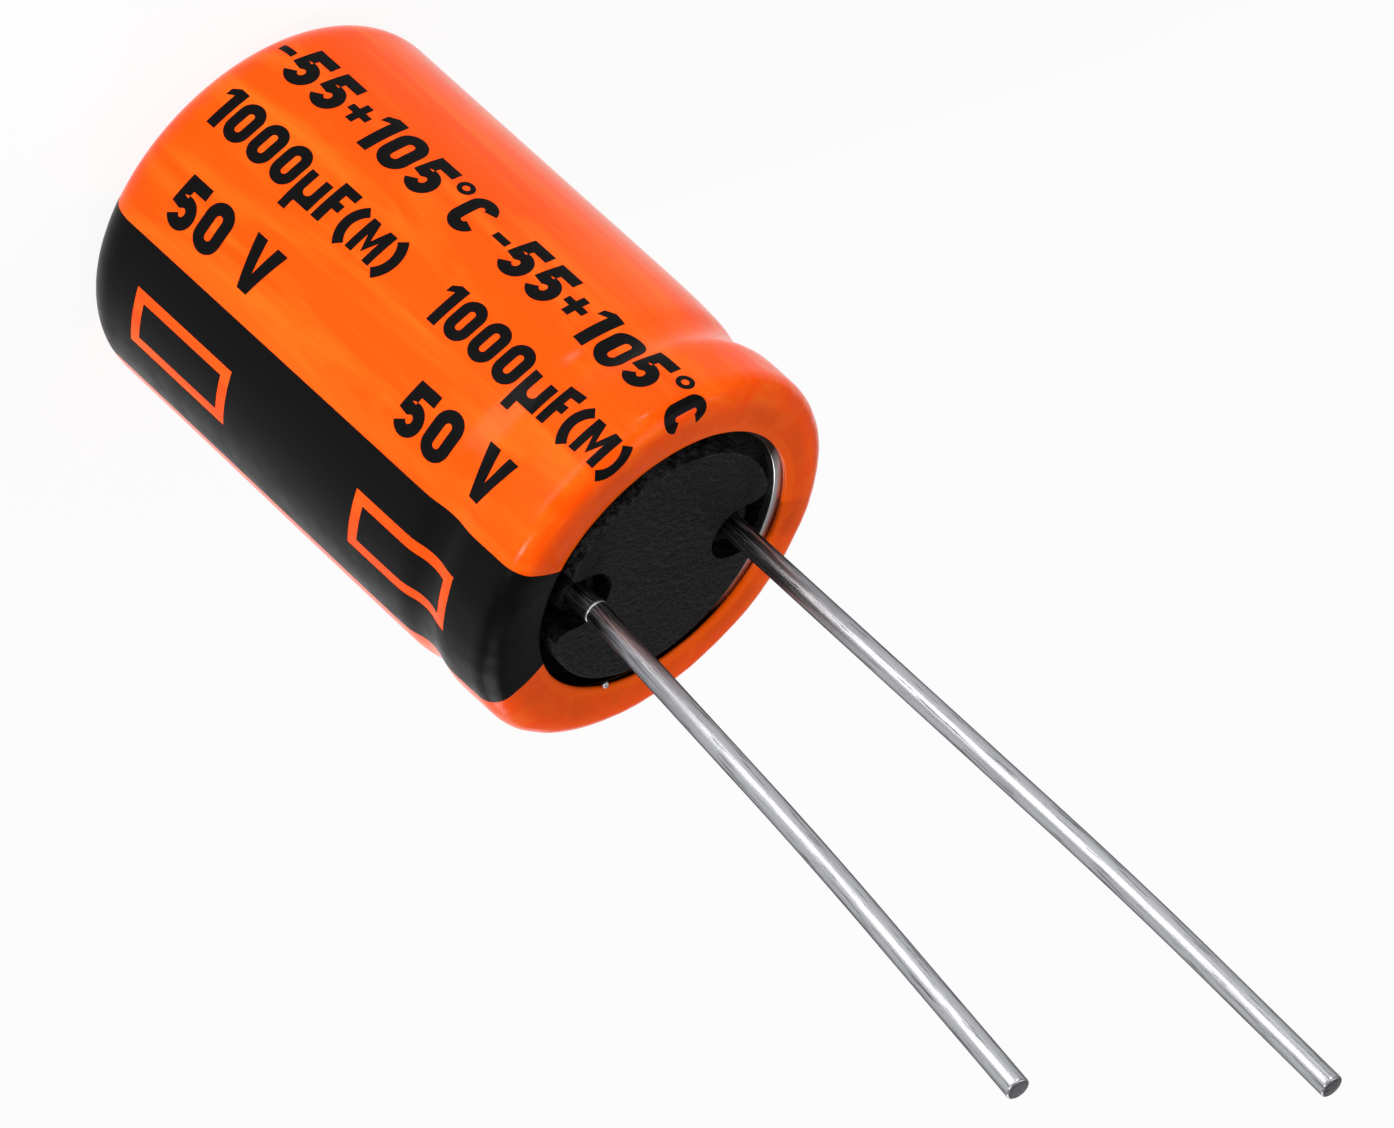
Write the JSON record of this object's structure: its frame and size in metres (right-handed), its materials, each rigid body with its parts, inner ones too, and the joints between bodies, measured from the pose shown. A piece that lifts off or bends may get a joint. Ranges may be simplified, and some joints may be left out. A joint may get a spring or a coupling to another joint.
{
  "type": "radial electrolytic capacitor",
  "caption": "Round aluminium can in an orange shrink sleeve with a black polarity stripe, sealed by a rubber bung with two straight wire leads.",
  "frame": {"origin": "on the can's axis, where the closed end's sleeve rests on a surface", "axes": "+Z along the can's axis, from the closed end towards the leads; +X from the negative lead to the positive lead"},
  "size_m": [0.0104, 0.0104, 0.036],
  "materials": {
    "sleeve": "glossy orange shrink tube",
    "ink": "black printing ink, half gloss",
    "can": "drawn bright aluminium",
    "seal": "matt black moulded rubber",
    "roll": "soaked paper and foil edges",
    "tape": "brown polymer tape",
    "lead": "tinned wire with fine drawing marks"
  },
  "bodies": {
    "root": {"sleeve": "sleeve", "polarity_stripe": "ink", "can": "can", "rubber_seal": "seal", "wound_roll": "roll", "closing_tape": "tape", "anode_tab": "can", "cathode_tab": "can", "positive_lead": "lead", "negative_lead": "lead"}
  },
  "joints": []
}
